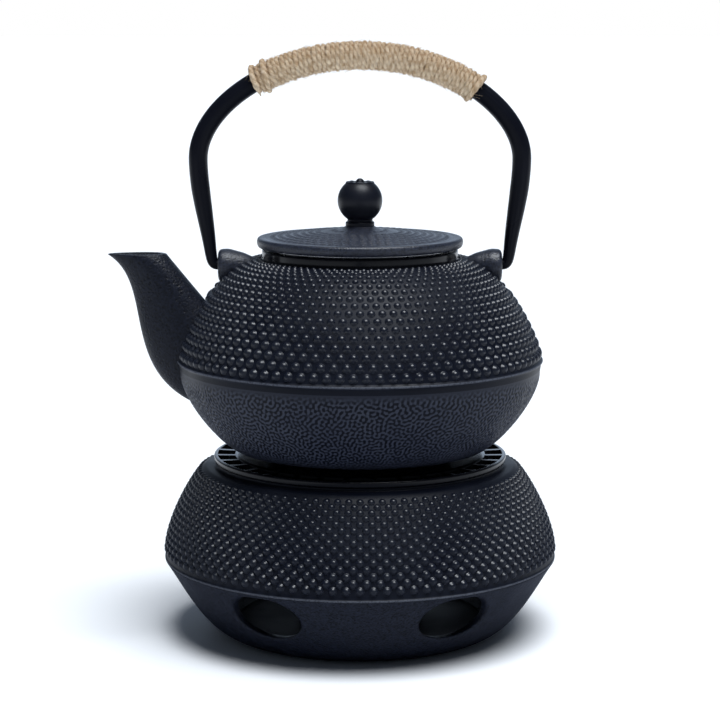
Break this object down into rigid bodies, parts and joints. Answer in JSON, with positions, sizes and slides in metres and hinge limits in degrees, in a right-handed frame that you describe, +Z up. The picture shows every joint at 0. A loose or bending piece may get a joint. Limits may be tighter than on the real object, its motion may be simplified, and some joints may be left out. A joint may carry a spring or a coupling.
{
  "type": "cast iron teapot with warmer",
  "caption": "Dotted round cast iron teapot with spout, knobbed lid, tea basket and twine-bound swinging bail, standing on a matching candle warmer.",
  "frame": {"origin": "centre of the warmer's flat base, on the surface it stands on", "axes": "+Z up, spout towards -X, ears and bail hinge line along X"},
  "size_m": [0.2162, 0.19, 0.2847],
  "materials": {
    "cast_iron": "matt blue-black enamel over sand-cast iron",
    "enamel": "glossy black vitreous enamel",
    "black_steel": "satin black",
    "stainless": "fine mesh and bright pressed sheet",
    "aluminium": "thin pressed foil",
    "wax": "white wax",
    "wick": "braided cotton",
    "jute": "plied jute twine"
  },
  "bodies": {
    "warmer": {"warmer_body": "cast_iron", "warmer_floor": "cast_iron"},
    "tray": {"candle_tray": "black_steel"},
    "tealight": {"tealight_cup": "aluminium", "tealight_wax": "wax", "tealight_wick": "wick", "wick_tab": "stainless"},
    "trivet": {"trivet_ring": "enamel"},
    "pot": {"pot_body": "cast_iron", "pot_neck": "enamel", "spout": "cast_iron"},
    "basket": {"infuser_rim": "stainless", "infuser_wall": "stainless", "infuser_floor": "stainless", "infuser_hoop": "stainless"},
    "lid": {"lid_plate": "cast_iron", "lid_knob": "cast_iron", "knob_screw": "stainless", "knob_washer": "stainless"},
    "bail": {"bail": "black_steel", "handle_wrap": "jute"}
  },
  "joints": [
    {"name": "trivet_lift", "type": "slide", "parent": "warmer", "child": "trivet", "axis": [0, 0, 1], "range_m": [0, 0.04]},
    {"name": "pot_lift", "type": "slide", "parent": "trivet", "child": "pot", "axis": [0, 0, 1], "range_m": [0, 0.06]},
    {"name": "bail_swing", "type": "hinge", "parent": "pot", "child": "bail", "pos_m": [0, 0, 0.1785], "axis": [1, 0, 0], "range_deg": [-105, 105]},
    {"name": "basket_lift", "type": "slide", "parent": "pot", "child": "basket", "axis": [0, 0, 1], "range_m": [0, 0.036]},
    {"name": "lid_lift", "type": "slide", "parent": "basket", "child": "lid", "axis": [0, 0, 1], "range_m": [0, 0.012]},
    {"name": "tray_lift", "type": "slide", "parent": "warmer", "child": "tray", "axis": [0, 0, 1], "range_m": [0, 0.025]},
    {"name": "tealight_lift", "type": "slide", "parent": "tray", "child": "tealight", "axis": [0, 0, 1], "range_m": [0, 0.02]}
  ]
}
